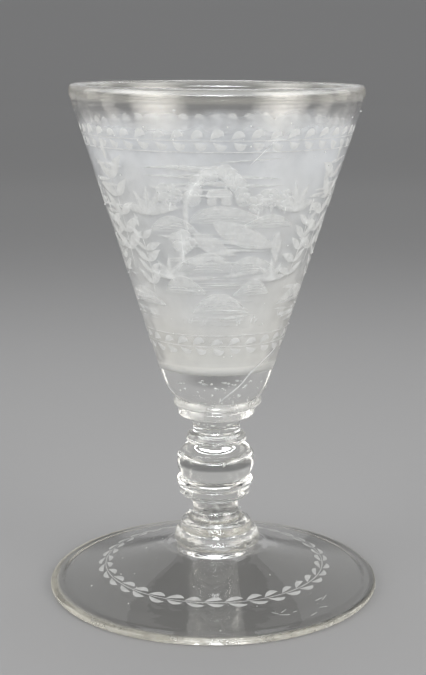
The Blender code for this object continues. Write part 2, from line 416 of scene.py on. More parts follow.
def turned(name, rows, bands, segments, inner_rows=(), sharp_rows=()):
    """Turns an outline, given from its first pole to its last, into a closed mesh.

    rows are (radius, height) pairs, and bands holds the material index between each row and the
    next. inner_rows are the rows of an inner surface, and sharp_rows the ones with a crisp edge.
    """
    shape = bmesh.new()
    rings = []
    for index, (radius, height) in enumerate(rows):
        if radius < 1e-7:
            rings.append([shape.verts.new(glass_point(0, 0, height))])
            continue
        ring = []
        for step in range(segments):
            angle = math.tau * step / segments
            stands_out = unevenness(angle, height, index in inner_rows)
            reach = radius + stands_out * min(1.0, radius / EVEN_CORE)
            ring.append(shape.verts.new(glass_point(angle, reach, height)))
        rings.append(ring)
    for index, (upper, lower) in enumerate(zip(rings, rings[1:])):
        for step in range(segments):
            after = (step + 1) % segments
            if len(upper) == 1:
                corners = (upper[0], lower[step], lower[after])
            elif len(lower) == 1:
                corners = (upper[step], lower[0], upper[after])
            else:
                corners = (upper[step], lower[step], lower[after], upper[after])
            face = shape.faces.new(corners)
            face.material_index = bands[index]
            face.smooth = True
    for index in sharp_rows:
        ring = set(rings[index])
        for vertex in rings[index]:
            for edge in vertex.link_edges:
                if edge.other_vert(vertex) in ring:
                    edge.smooth = False
    return linked_object(name, shape)


def stem_piece(node, side, glass):
    """A solid piece of the stem: its side shows, and its two ends are fused to its neighbours."""
    rows = [(0.0, side[0][1])] + side + [(0.0, side[-1][1])]
    bands = [1] + [0] * (len(side) - 1) + [1]
    piece = turned(node + "_glass", rows, bands, STEM_SEGMENTS, sharp_rows=(1, len(side)))
    piece.data.materials.append(glass)
    piece.data.materials.append(fused_joint())
    stands_for(piece, node)


def stands_for(piece, node):
    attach(piece, "root")
    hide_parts(node)


# ---------------- materials


class Shading:
    """A material being made. Each of its nodes is linked to earlier ones as it is added."""

    def __init__(self, name):
        self.material = bpy.data.materials.new(name)
        self.material.use_nodes = True
        self.tree = self.material.node_tree
        self.tree.nodes.clear()

    def add(self, kind, inputs, **settings):
        """Adds a node. Each input takes a value, or the output of an earlier node."""
        node = self.tree.nodes.new("ShaderNode" + kind)
        for setting, value in settings.items():
            setattr(node, setting, value)
        for socket, value in inputs.items():
            if isinstance(value, bpy.types.NodeSocket):
                self.tree.links.new(value, node.inputs[socket])
            else:
                node.inputs[socket].default_value = value
        return node

    def finish(self, surface):
        self.add("OutputMaterial", {"Surface": surface})
        return self.material

    def place(self):
        """Where a point is in the object's own space."""
        return self.add("TexCoord", {}).outputs["Object"]

    def height(self):
        return self.add("SeparateXYZ", {"Vector": self.place()}).outputs["Z"]

    def from_axis(self):
        """How far a point is from the upright axis."""
        flat = self.add("VectorMath", {0: self.place(), 1: (1, 1, 0)}, operation="MULTIPLY")
        length = self.add("VectorMath", {0: flat.outputs["Vector"]}, operation="LENGTH")
        return length.outputs["Value"]

    def noise(self, scale, detail, stretch=(1, 1, 1)):
        """Noise of this many waves per metre, times stretch along each axis."""
        mapping = self.add("Mapping", {"Vector": self.place(), "Scale": stretch})
        inputs = {"Vector": mapping.outputs["Vector"], "Scale": scale, "Detail": detail}
        return self.add("TexNoise", inputs).outputs["Fac"]

    def ranged(self, value, low, high, to_low, to_high):
        """Maps value from one range to another, smoothly, and holds it inside."""
        inputs = {"Value": value, "From Min": low, "From Max": high, "To Min": to_low, "To Max": to_high}
        return self.add("MapRange", inputs, interpolation_type="SMOOTHSTEP").outputs["Result"]

    def combined(self, operation, first, second):
        return self.add("Math", {0: first, 1: second}, operation=operation).outputs["Value"]

    def two_colours(self, value, low, low_colour, high, high_colour):
        """Turns value into low_colour up to low, high_colour from high, and a blend between."""
        node = self.add("ValToRGB", {"Fac": value})
        first, last = node.color_ramp.elements
        first.position = low
        first.color = low_colour
        last.position = high
        last.color = high_colour
        return node.outputs["Color"]

    def mixed(self, share, first, second):
        return self.add("MixShader", {"Fac": share, 1: first, 2: second}).outputs["Shader"]

    def film(self, colour, through=0.5):
        """A layer that scatters light both ways, this share of it through to the far side."""
        front = self.add("BsdfDiffuse", {"Color": colour}).outputs["BSDF"]
        back = self.add("BsdfTranslucent", {"Color": colour}).outputs["BSDF"]
        return self.mixed(through, front, back)

    def clear(self, tint, waviness, waves_per_metre=WAVES_PER_METRE):
        """Blown glass: faint smears in its gloss, slight waves, and light let through to what is behind."""
        smears = self.noise(60.0, 5.0, (1, 1, 0.4))
        waves = self.noise(waves_per_metre, 3.0, (1, 1, 2.5))
        bump = self.add("Bump", {"Strength": waviness, "Distance": WAVE_DEPTH, "Height": waves})
        glass = {
            "Base Color": (*tint, 1.0),
            "Transmission Weight": 1.0,
            "IOR": GLASS_IOR,
            "Roughness": self.ranged(smears, 0.45, 0.75, 0.0, 0.05),
            "Normal": bump.outputs["Normal"],
        }
        seen = self.add("BsdfPrincipled", glass).outputs["BSDF"]
        lamp_light = self.add("BsdfTransparent", {"Color": LAMP_LIGHT_THROUGH}).outputs["BSDF"]
        return self.mixed(self.add("LightPath", {}).outputs["Is Shadow Ray"], seen, lamp_light)


def clear_glass(name, tint, waviness, painted_light_and_wear_share=None, painted_light_and_wear_colour=None, waves_per_metre=WAVES_PER_METRE):
    """Clear glass, or glass under a film of the given colour and share: painted light on the collar, wear
    and painted light on the rim and foot edge.
    """
    shading = Shading(name)
    surface = shading.clear(tint, waviness, waves_per_metre)
    if painted_light_and_wear_share is not None:
        patches = shading.ranged(shading.noise(150.0, 4.0), 0.2, 0.8, 0.5, 1.0)
        amount = shading.combined("MULTIPLY", painted_light_and_wear_share(shading), patches)
        surface = shading.mixed(amount, surface, shading.film(painted_light_and_wear_colour))
    return shading.finish(surface)


# A film on the rim that is partly wear from handling and partly a painted bright band
def rim_wear_and_painted_light(shading):
    return shading.ranged(shading.height(), RIM_WEAR_AND_PAINTED_LIGHT_START, RIM_WEAR_AND_PAINTED_LIGHT_END, 0.0, RIM_WEAR_AND_PAINTED_LIGHT)


# A film on the foot's edge that is partly wear where it rests and partly painted light for its bright edge
def foot_edge_wear_and_painted_light(shading):
    distance = shading.from_axis()
    return shading.ranged(distance, FOOT_EDGE_WEAR_AND_PAINTED_LIGHT_START, FOOT_EDGE_WEAR_AND_PAINTED_LIGHT_END, 0.0, FOOT_EDGE_WEAR_AND_PAINTED_LIGHT)


def collar_painted_light(shading):
    """A white film of painted light all over, thicker in patches, for light that the stem carries down from
    the bowl.
    """
    return shading.ranged(shading.noise(120.0, 3.0), 0.3, 0.7, COLLAR_PAINTED_LIGHT / 2, COLLAR_PAINTED_LIGHT)


def fused_joint():
    """The inside of a weld, where one piece of glass goes on into the next with no surface."""
    name = "fused_joint"
    if name in bpy.data.materials:
        return bpy.data.materials[name]
    shading = Shading(name)
    return shading.finish(shading.add("BsdfPrincipled", {"Alpha": 0.0}).outputs["BSDF"])


def haze_cover(shading):
    """How much light the haze scatters: patchy, gone in soft runs below the rim, and thinner low down."""
    runs = shading.combined("MULTIPLY", shading.noise(150.0, 3.0, (1, 1, 0.12)), HAZE_RUNS)
    edge = shading.combined("ADD", runs, shading.height())
    below_rim = shading.ranged(edge, HAZE_TOP_START, HAZE_TOP_END, 1.0, 0.04)
    patches = shading.ranged(shading.noise(45.0, 6.0, (1, 1, 0.7)), 0.30, 0.70, 0.66, 1.0)
    most = shading.ranged(shading.height(), HAZE_THIN_END, HAZE_THIN_START, HAZE_THIN, HAZE_MOST)
    return shading.combined("MULTIPLY", shading.combined("MULTIPLY", below_rim, patches), most)


def haze_colour(shading):
    """Bluish high in the bowl and creamy low in it, unevenly."""
    low = shading.ranged(shading.height(), FLOOR_HEIGHT, HAZE_TOP_START, 0.76, 0.28)
    warmth = shading.add("Mix", {"Factor": 0.5, "A": shading.noise(22.0, 3.0), "B": low})
    return shading.two_colours(warmth.outputs["Result"], 0.35, HAZE_HIGH_COLOUR, 0.68, HAZE_LOW_COLOUR)


def hazed_glass(name, tint):
    """The inside of the bowl: clear glass under a milky haze, with a white ring round its floor that is
    partly deposit and partly painted light.
    """
    shading = Shading(name)
    # The ring's white film is partly deposit and partly painted light from the thick base below.
    deposit_and_painted_light = shading.ranged(shading.height(), DEPOSIT_AND_PAINTED_LIGHT_START, DEPOSIT_AND_PAINTED_LIGHT_END, DEPOSIT_AND_PAINTED_LIGHT_MOST, 0.0)
    haze_film = shading.film(haze_colour(shading))
    deposit_and_painted_light_film = shading.film(DEPOSIT_AND_PAINTED_LIGHT_COLOUR, DEPOSIT_AND_PAINTED_LIGHT_THROUGH)
    film = shading.mixed(deposit_and_painted_light, haze_film, deposit_and_painted_light_film)
    cover = shading.combined("MAXIMUM", haze_cover(shading), deposit_and_painted_light)
    return shading.finish(shading.mixed(cover, shading.clear(tint, 0.12), film))


def frosted(name, cover, patchy=0.2, engraved=True):
    """Ground glass, as a wheel leaves it: white, matt and a little see-through.

    cover is the share of light that it scatters at most. patchy is how far that falls off in places,
    and an engraved mesh also says at each point how white it is.
    """
    shading = Shading(name)
    film = shading.film(shading.two_colours(shading.noise(2500.0, 4.0), 0.3, CUT_SHADE, 0.7, CUT_LIGHT))
    amount = shading.ranged(shading.noise(220.0, 3.0), 0.35, 0.65, cover * (1 - patchy), cover)
    if engraved:
        whiteness = shading.add("Attribute", {}, attribute_name="whiteness").outputs["Fac"]
        amount = shading.combined("MULTIPLY", amount, whiteness)
    see_through = shading.add("BsdfTransparent", {}).outputs["BSDF"]
    return shading.finish(shading.mixed(amount, see_through, film))


def studio_paper():
    """Matt grey paper that glows a little far from the glass and up the wall, as if lit by more lamps."""
    shading = Shading("studio_paper")
    far = shading.ranged(shading.from_axis(), *FAR_GLOW_RANGE, 0.0, FAR_GLOW)
    high = shading.ranged(shading.height(), *WALL_GLOW_RANGE, 0.0, WALL_GLOW)
    paper = {
        "Base Color": (*FLOOR_COLOUR, 1.0),
        "Roughness": 0.9,
        "Specular IOR Level": 0.1,
        "Emission Color": (1.0, 1.0, 1.0, 1.0),
        "Emission Strength": shading.combined("ADD", far, high),
    }
    return shading.finish(shading.add("BsdfPrincipled", paper).outputs["BSDF"])


# ---------------- the pieces of glass


def make_bowl():
    inside = cavity_outline()
    rim = rim_outline()
    outside = bowl_side_outline()
    rows = inside + rim + outside + [(0.0, outside[-1][1])]
    seat_row = len(rows) - 2
    bands = [1] * (len(inside) - 1) + [0] * (len(rim) + len(outside)) + [2]
    piece = turned("bowl_glass", rows, bands, WIDE_SEGMENTS, set(range(len(inside))), (seat_row,))
    clear = clear_glass("bowl_clear_glass", BOWL_TINT, 0.10, rim_wear_and_painted_light, WEAR_AND_PAINTED_LIGHT_COLOUR)
    piece.data.materials.append(clear)
    piece.data.materials.append(hazed_glass("bowl_hazed_glass", BOWL_TINT))
    piece.data.materials.append(fused_joint())
    stands_for(piece, "bowl")


def make_bead(node, glass):
    """A piece of the stem that is one rounded ring."""
    top_radius, belly_height, bottom_radius, top_sweep, bottom_sweep = BEADS[node]
    top = (top_radius, joint_above(node))
    belly = (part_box(node)[1].x, belly_height)
    bottom = (bottom_radius, joint_below(node))
    stem_piece(node, bead(top, belly, bottom, top_sweep, bottom_sweep), glass)


def make_upper_neck(glass):
    top, bottom = joint_above("upper_neck"), joint_below("upper_neck")
    end, waist, curve = 9.5 * MM, 9.3 * MM, 0.9 * MM
    side = ease((end, top), (waist, top - curve), 4)
    side += line((waist, top - curve), (waist, bottom + curve), 4)[1:]
    side += ease((waist, bottom + curve), (end, bottom), 4)[1:]
    stem_piece("upper_neck", side, glass)


def make_stem_base(glass):
    """The lower neck, which flares through a hollow curve to the edge of a shoulder."""
    top, bottom = joint_above("stem_base"), joint_below("stem_base")
    neck, flare_start = 9.0 * MM, 31.9 * MM
    shoulder, shoulder_height, shoulder_round = 13.9 * MM, 25.3 * MM, 0.7 * MM
    across = shoulder - shoulder_round - neck
    down = flare_start - shoulder_height - shoulder_round
    side = ease((9.1 * MM, top), (neck, flare_start), 5)
    side += arc((neck + across, flare_start), (across, down), 180, 270)[1:]
    side += arc((shoulder - shoulder_round, shoulder_height), (shoulder_round,) * 2, 75, 0, 6)
    side += line(side[-1], (14.4 * MM, bottom), 5)[1:]
    stem_piece("stem_base", side, glass)


def foot_outline():
    """The foot from the middle of its seat, out over the edge, and in under it to the pontil scar."""
    outer = FOOT_RADIUS - FOOT_EDGE / 2
    seat = joint_above("foot")
    upper = [(0.0, seat), (FOOT_SEAT_RADIUS, seat)]
    for step in range(1, 48):
        radius = FOOT_SEAT_RADIUS + (outer - FOOT_SEAT_RADIUS) * step / 48
        blend = smooth((radius - FOOT_SEAT_RADIUS) / FOOT_SEAT_EASE)
        upper.append((radius, seat + (foot_top_height(radius) - seat) * blend))
    edge = arc((outer, FOOT_EDGE / 2), (FOOT_EDGE / 2,) * 2, 78, -90, 18)
    resting_inner = outer - RESTING_WIDTH
    hollow = resting_inner - RESTING_EASE
    lower = []
    for step in range(9):
        radius = resting_inner + (hollow - resting_inner) * step / 8
        lower.append((radius, foot_underside_height(radius) * smooth(step / 8)))
    for step in range(1, 40):
        radius = hollow + (FOOT_SEAT_RADIUS - hollow) * step / 39
        lower.append((radius, foot_underside_height(radius)))
    ceiling = lower[-1][1] + PONTIL_RISE
    lower += ease(lower[-1], (PONTIL_RADIUS, ceiling), 6)[1:]
    lower += ease((PONTIL_RADIUS, ceiling), (PONTIL_RADIUS * 0.8, ceiling + PONTIL_DEPTH), 4)[1:]
    lower += line(lower[-1], (0.0, ceiling + PONTIL_DEPTH), 4)[1:]
    return upper, edge, lower


def make_foot():
    upper, edge, lower = foot_outline()
    rows = upper + edge + lower
    bands = [1] + [0] * (len(rows) - 2)
    first_lower = len(upper) + len(edge)
    inner = set(range(first_lower + 9, len(rows)))
    piece = turned("foot_glass", rows, bands, WIDE_SEGMENTS, inner, (1,))
    clear = clear_glass("foot_clear_glass", FOOT_TINT, 0.10, foot_edge_wear_and_painted_light, WEAR_AND_PAINTED_LIGHT_COLOUR)
    piece.data.materials.append(clear)
    piece.data.materials.append(fused_joint())
    stands_for(piece, "foot")


# ---------------- engraving, drawn in millimetres


def bowl_sheet(angle, height=0.0):
    """A sheet to draw on, laid on the bowl: x runs to the right round it, and y up it from this height."""
    centre = math.radians(angle - 90)

    def place(x, y, lift):
        level = (height + y) * MM
        around = centre + x * MM / bowl_radius(level)
        reach = bowl_radius(level) + unevenness(around, level, False) + lift * MM
        return glass_point(around, reach, level)

    return place


def foot_sheet(angle, radius):
    """A sheet laid on the foot: x runs to the right round it, and y inwards from this radius."""
    centre = math.radians(angle - 90)

    def place(x, y, lift):
        around = centre + x / radius
        level = foot_top_height((radius - y) * MM)
        reach = (radius - y) * MM + unevenness(around, level, False)
        return glass_point(around, reach, level + lift * MM)

    return place


def engraving():
    """An empty mesh for cuts, which keeps how white the wheel has left each point."""
    shape = bmesh.new()
    shape.verts.layers.float.new("whiteness")
    return shape


def cut_point(shape, position, white=1.0):
    vertex = shape.verts.new(position)
    vertex[shape.verts.layers.float["whiteness"]] = white
    return vertex


def stroke(shape, place, path, widths):
    """A cut along path, as wide at each point as widths says: a low ridge, closed underneath."""
    rings = []
    for index, (x, y) in enumerate(path):
        before = path[max(index - 1, 0)]
        after = path[min(index + 1, len(path) - 1)]
        along = Vector((after[0] - before[0], after[1] - before[1])).normalized()
        half = max(widths[index], THINNEST_CUT) / 2
        across = Vector((-along.y, along.x)) * half
        depth = min(CUT_DEPTH, half)
        corners = (
            place(x + across.x, y + across.y, 0),
            place(x, y, depth),
            place(x - across.x, y - across.y, 0),
            place(x, y, -depth),
        )
        rings.append([cut_point(shape, corner) for corner in corners])
    for near, far in zip(rings, rings[1:]):
        for step in range(4):
            after = (step + 1) % 4
            shape.faces.new((near[step], near[after], far[after], far[step]))
    shape.faces.new(rings[0][::-1])
    shape.faces.new(rings[-1])


def even_stroke(shape, place, path, width, taper=True):
    """A cut of one width, which runs out to nothing at its ends if it tapers."""
    count = len(path) - 1
    widths = []
    for index in range(len(path)):
        share = min(index, count - index) / count
        widths.append(width * (smooth(share * 8) if taper else 1.0))
    stroke(shape, place, path, widths)


def half_moon(shape, place, start, length, width, side, gap, tilt):
    """A leaf beside a vine, flat towards it and rounded away from it, and lifting off it to its tip."""
    path, widths = [], []
    for step in range(13):
        share = step / 12
        wide = width * math.sin(math.pi * share**1.1) ** 0.85
        path.append((start + length * share, side * (gap + wide / 2 + tilt * length * share)))
        widths.append(wide)
    stroke(shape, place, path, widths)


def curved_path(base, angle, length, bend, steps=14):
    """A path that leaves its base at an angle in degrees and bends as it goes."""
    path = [base]
    for step in range(1, steps + 1):
        heading = math.radians(angle + bend * step / steps)
        x, y = path[-1]
        path.append((x + math.cos(heading) * length / steps, y + math.sin(heading) * length / steps))
    return path


def lance_leaf(shape, place, base, angle, length, width, bend):
    """A long pointed leaf."""
    path = curved_path(base, angle, length, bend)
    widths = []
    for step in range(len(path)):
        widths.append(width * math.sin(math.pi * (step / (len(path) - 1)) ** 0.75))
    stroke(shape, place, path, widths)


def smooth_path(points, steps=8):
    """A smooth curve through a few points."""
    path = []
    for index in range(len(points) - 1):
        before = Vector(points[max(index - 1, 0)])
        start, end = Vector(points[index]), Vector(points[index + 1])
        after = Vector(points[min(index + 2, len(points) - 1)])
        for step in range(steps):
            share = step / steps
            leave, arrive = (end - before) / 2, (after - start) / 2
            bend = 2 * share**3 - 3 * share**2
            point = start * (bend + 1) - end * bend
            point += leave * (share**3 - 2 * share**2 + share) + arrive * (share**3 - share**2)
            path.append(tuple(point))
    path.append(tuple(points[-1]))
    return path


def divided(outline, longest):
    """The same outline with no side longer than longest, so that it follows the curve of the glass."""
    fine = []
    for start, end in zip(outline, outline[1:] + outline[:1]):
        steps = math.ceil(math.dist(start, end) / longest)
        fine += line(start, end, steps)[:-1]
    return fine


def contains(outline, x, y):
    """True if a point is inside an outline."""
    inside = False
    for (x1, y1), (x2, y2) in zip(outline, outline[1:] + outline[:1]):
        if (y1 > y) != (y2 > y) and x < x1 + (x2 - x1) * (y - y1) / (y2 - y1):
            inside = not inside
    return inside


def patch(shape, place, outline, faded=0.0):
    """A ground area with this outline, as a thin closed sheet. faded is how far it fades to its foot."""
    outline = divided(outline, PATCH_GRID)
    points = [Vector(point) for point in outline]
    xs = [point[0] for point in outline]
    ys = [point[1] for point in outline]
    left, right, foot, top = min(xs), max(xs), min(ys), max(ys)
    for column in range(1, int((right - left) / PATCH_GRID) + 1):
        for row in range(1, int((top - foot) / PATCH_GRID) + 1):
            x = left + column * PATCH_GRID
            y = foot + row * PATCH_GRID
            if contains(outline, x, y):
                points.append(Vector((x, y)))
    border = [(index, (index + 1) % len(outline)) for index in range(len(outline))]
    flat, _, triangles, sources, _, _ = delaunay_2d_cdt(points, border, [], 1, 1e-7)
    upper, lower = [], []
    for point, made_from in zip(flat, sources):
        at_border = any(source < len(outline) for source in made_from)
        depth = THINNEST_CUT / 4 if at_border else CUT_DEPTH
        white = 1 - faded * (top - point.y) / (top - foot)
        upper.append(cut_point(shape, place(point.x, point.y, depth), white))
        lower.append(cut_point(shape, place(point.x, point.y, -depth), white))
    sides = set()
    for triangle in triangles:
        shape.faces.new([upper[index] for index in triangle])
        shape.faces.new([lower[index] for index in reversed(triangle)])
        sides.update(zip(triangle, triangle[1:] + triangle[:1]))
    for start, end in sorted(sides):
        if (end, start) not in sides:
            shape.faces.new((upper[end], upper[start], lower[start], lower[end]))


def engraved_piece(name, shape, material):
    bmesh.ops.recalc_face_normals(shape, faces=shape.faces)
    piece = linked_object(name, shape)
    piece.data.materials.append(material)
    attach(piece, "root")


def ring_path(radius):
    """A path once round the axis on a sheet, from the back."""
    half = math.pi * radius
    return line((-half, 0.0), (half, 0.0), 240)


def garland(shape, sheet_at, radius, count, length, width, gap, tilt, seed):
    """Pairs of leaves along a vine that runs to the right, with the small slips of hand work."""
    slip = random.Random(seed)
    for index in range(count):
        place = sheet_at(360 * (index + slip.uniform(-0.03, 0.03)) / count)
        for side in (1, -1):
            reach = length * slip.uniform(0.90, 1.05)
            wide = width * slip.uniform(0.88, 1.08) * (1.0 if side > 0 else 0.9)
            start = -length * slip.uniform(0.47, 0.53) + (0.0 if side > 0 else 0.16 * length)
            half_moon(shape, place, start, reach, wide, side, gap, tilt * slip.uniform(0.6, 1.5))
    even_stroke(shape, sheet_at(0), ring_path(radius), VINE_WIDTH, taper=False)


def make_foot_garland():
    shape = engraving()
    radius = FOOT_GARLAND_RADIUS
    garland(shape, partial(foot_sheet, radius=radius), radius, 35, 6.9, 2.05, 0.42, 0.15, 3)
    engraved_piece("foot_leaf_garland", shape, frosted("foot_engraving", 0.62))


def make_bowl_garlands(leaves, lines):
    for name, height, count, length, width, seed in (
        ("upper_leaf_garland", 179.3, 46, 4.6, 2.9, 5),
        ("lower_leaf_garland", 101.7, 26, 4.5, 2.6, 8),
    ):
        shape = engraving()
        radius = bowl_radius(height * MM) / MM
        sheet_at = partial(bowl_sheet, height=height)
        garland(shape, sheet_at, radius, count, length, width, 0.5, 0.2, seed)
        engraved_piece(name, shape, leaves)
    for name, height in (("upper_engraved_line", 175.3), ("lower_engraved_line", 106.1)):
        shape = engraving()
        path = ring_path(bowl_radius(height * MM) / MM)
        even_stroke(shape, bowl_sheet(0, height), path, LINE_WIDTH, taper=False)
        engraved_piece(name, shape, lines)


def crest_path(left, right, foot, height, peak):
    """The top line of a low hill from left to right, highest at peak of the way along."""
    path = []
    for step in range(19):
        share = step / 18
        skewed = share ** (math.log(0.5) / math.log(peak))
        path.append((left + (right - left) * share, foot + height * abs(math.sin(math.pi * skewed)) ** 0.8))
    return path


# A picture being cut: its soft areas, its bright lines, the sheet it lies on, and the slips of the hand
Picture = namedtuple("Picture", "ground lines place slip")


def soft_area(picture, outline, faded=0.0):
    patch(picture.ground, picture.place, outline, faded)


def bright_line(picture, path, width=HATCH_WIDTH):
    even_stroke(picture.lines, picture.place, path, width)


def veined_leaf(picture, base, angle, length, width, bend):
    """A large leaf ground softly, with a brighter vein cut along it."""
    lance_leaf(picture.ground, picture.place, base, angle, length, width, bend)
    bright_line(picture, curved_path(base, angle, length * 0.9, bend))


def hill(picture, left, right, foot, height, peak):
    """A low hill that fades to its foot, with a bright crest and rows of shading cut along it."""
    crest = crest_path(left, right, foot, height, peak)
    soft_area(picture, crest, faded=0.75)
    bright_line(picture, crest[1:-1])
    middle = left + (right - left) * peak
    rows = int(height / 1.3)
    for row in range(1, rows + 1):
        y = foot + height * row / (rows + 1.5) - 0.4
        narrowed = (right - left) * 0.42 * (1 - row / (rows + 2)) ** 0.6
        start = middle - narrowed * picture.slip.uniform(0.5, 1.0)
        end = middle + narrowed * picture.slip.uniform(0.5, 1.0)
        shading = arc(((start + end) / 2, y), ((end - start) / 2, 0.8), 165, 15, 10)
        bright_line(picture, shading, HATCH_WIDTH * 0.8)


def dab(picture, centre, radius):
    """A rounded tuft of leaves with a bright upper edge."""
    soft_area(picture, arc(centre, (radius, radius * 0.9), 0, 337.5, 15), faded=0.6)
    bright_line(picture, arc(centre, (radius * 0.96, radius * 0.86), 150, 20, 8))


def foliage(picture, path, size):
    """Tufts of leaves, crowded along a path."""
    slip = picture.slip
    for x, y in path:
        centre = (x + slip.uniform(-0.2, 0.2) * size, y + slip.uniform(-0.2, 0.2) * size)
        dab(picture, centre, size * slip.uniform(0.75, 1.15))


def tree(picture, x, foot, height, crown):
    """A round-crowned tree: a trunk under five tufts of leaves."""
    bright_line(picture, line((x, foot), (x + 0.6, foot + height), 8), 0.7)
    tufts = arc((x, foot + height + crown * 0.5), (crown * 0.55, crown * 0.5), 0, 288, 4)
    foliage(picture, tufts, crown * 0.55)


def box_outline(left, right, foot, top):
    return [(left, foot), (right, foot), (right, top), (left, top)]


def cottage(picture, x, foot, width, wall_height):
    """A plain cottage: a wall with a doorway, a thatched roof and a chimney."""
    eaves = foot + wall_height
    ridge = eaves + wall_height * 0.8
    soft_area(picture, box_outline(x, x + width * 0.38, foot, eaves))
    soft_area(picture, box_outline(x + width * 0.58, x + width, foot, eaves))
    roof = [
        (x - width * 0.07, eaves),
        (x + width * 1.07, eaves),
        (x + width * 0.9, ridge),
        (x + width * 0.1, ridge),
    ]
    soft_area(picture, roof)
    for start, end in zip(roof, roof[1:] + roof[:1]):
        bright_line(picture, line(start, end, 8))
    for row in range(1, 3):
        level = eaves + (ridge - eaves) * row / 3
        course = line((x + width * 0.08, level), (x + width * 0.92, level), 10)
        bright_line(picture, course, HATCH_WIDTH * 0.8)
    chimney = line((x + width * 0.75, ridge), (x + width * 0.75, ridge + wall_height * 0.4), 3)
    even_stroke(picture.lines, picture.place, chimney, width * 0.10, taper=False)


def grass(picture, x, foot):
    slip = picture.slip
    for _ in range(5):
        base = (x + slip.uniform(-1.4, 1.4), foot)
        angle = slip.uniform(60, 120)
        length = slip.uniform(2.0, 3.6)
        lance_leaf(picture.lines, picture.place, base, angle, length, 0.4, slip.uniform(-40, 40))


def ground_lines(picture, left, right, foot, count):
    """Long shallow strokes across the ground, one above the other."""
    slip = picture.slip
    for index in range(count):
        y = foot + index * 1.5
        start = left + slip.uniform(0, 0.3) * (right - left)
        end = right - slip.uniform(0, 0.3) * (right - left)
        bright_line(picture, line((start, y), (end, y + slip.uniform(-0.5, 0.5)), 12))


def washes(picture, left, right, foot, top, count):
    """Broad soft strokes laid across the sky and the ground, which overlap as they happen to fall."""
    slip = picture.slip
    for _ in range(count):
        length = slip.uniform(0.25, 0.60) * (right - left)
        start = (slip.uniform(left, right - length), slip.uniform(foot, top))
        angle = slip.uniform(-5, 5)
        width = slip.uniform(0.5, 1.5)
        lance_leaf(picture.ground, picture.place, start, angle, length, width, slip.uniform(-8, 8))


def fan(picture, x, foot, length):
    """Long leaves that spread from one root."""
    for angle in (32, 62, 92, 122, 150):
        bend = (angle - 90) * picture.slip.uniform(0.3, 0.7)
        reach = length * picture.slip.uniform(0.8, 1.1)
        veined_leaf(picture, (x, foot), angle, reach, reach * 0.26, bend)


def spray(picture, x, foot, height):
    """A tall leafy plant: a bending stem with long leaves to each side."""
    slip = picture.slip
    stem = []
    for step in range(13):
        share = step / 12
        stem.append((x + 2.5 * math.sin(2.2 * share), foot + height * share))
    bright_line(picture, stem, 0.45)
    for step in range(2, 12, 2):
        for side in (1, -1):
            length = height * slip.uniform(0.24, 0.34)
            angle = 90 - side * slip.uniform(38, 60)
            bend = side * slip.uniform(-25, 10)
            veined_leaf(picture, stem[step], angle, length, length * 0.32, bend)
    veined_leaf(picture, stem[-1], 88, height * 0.2, height * 0.06, 12)


def cottage_scene(picture):
    """A cottage under a leaning tree, on a hill above a valley of fields, bushes and big leaves."""
    hill(picture, -12, 17, 149.5, 6.5, 0.4)
    hill(picture, 5, 28, 147.5, 5.0, 0.6)
    hill(picture, -27, -8, 146.0, 6.0, 0.45)
    cottage(picture, -5.0, 156.4, 8.5, 3.2)
    trunk = smooth_path([(-12, 146), (-12.8, 155), (-10.5, 162.5), (-6.5, 166.5)])
    even_stroke(picture.ground, picture.place, trunk, 1.9)
    bright_line(picture, trunk)
    foliage(picture, arc((-1.5, 156.0), (9.5, 12.0), 165, 8, 11), 3.1)
    for x in (13, 18, 24, -19):
        foot = picture.slip.uniform(151, 154)
        tree(picture, x, foot, 3.5, picture.slip.uniform(3.6, 5.0))
    veined_leaf(picture, (-3, 150), -30, 27, 8.0, 16)
    veined_leaf(picture, (-10, 146), -40, 18, 6.0, 24)
    veined_leaf(picture, (-15, 148), -75, 13, 5.0, -20)
    veined_leaf(picture, (22, 146), -105, 12, 4.5, 25)
    tree(picture, -14.0, 134.5, 5.5, 4.6)
    hill(picture, -20, 6, 131.0, 7.5, 0.6)
    hill(picture, 3, 23, 130.0, 7.0, 0.4)
    hill(picture, -21, -5, 122.5, 7.0, 0.4)
    hill(picture, 4, 19, 122.0, 6.0, 0.6)
    hill(picture, -10.5, 10.5, 115.0, 8.0, 0.48)
    fan(picture, -28, 152, 13)
    fan(picture, 29, 153, 12)
    fan(picture, -19, 128, 10)
    fan(picture, 20, 127, 9)
    washes(picture, -30, 30, 158, 172, 11)
    washes(picture, -24, 24, 134, 152, 9)
    washes(picture, -15, 15, 108, 132, 11)
    ground_lines(picture, -20, 20, 141.0, 4)
    ground_lines(picture, -16, 16, 125.5, 3)
    ground_lines(picture, -13, 13, 110.5, 3)
    for x in (-12, -6, 7, 13):
        grass(picture, x, 110.8)


def plants_scene(picture):
    """Tall plants on a mound."""
    spray(picture, 0.0, 131, 40)
    spray(picture, -9, 124, 28)
    spray(picture, 8, 121, 26)
    hill(picture, -10, 12, 117.0, 6.5, 0.5)
    washes(picture, -12, 12, 150, 173, 8)
    washes(picture, -10, 10, 108, 130, 8)
    ground_lines(picture, -9, 9, 111.5, 3)
    for x in (-5, 4):
        grass(picture, x, 112.0)


def make_frieze(scenery, plants, lines_glass):
    """Three cottages and three stands of tall plants in turn round the bowl."""
    slip = random.Random(21)
    for index in range(3):
        for name, draw, angle, glass in (
            ("cottage", cottage_scene, 2, scenery),
            ("plants", plants_scene, 62, plants),
        ):
            picture = Picture(engraving(), engraving(), bowl_sheet(120 * index + angle), slip)
            draw(picture)
            engraved_piece(f"frieze_{name}_{index + 1}", picture.ground, glass)
            engraved_piece(f"frieze_{name}_lines_{index + 1}", picture.lines, lines_glass)


# ---------------- seeds, crack and scratches


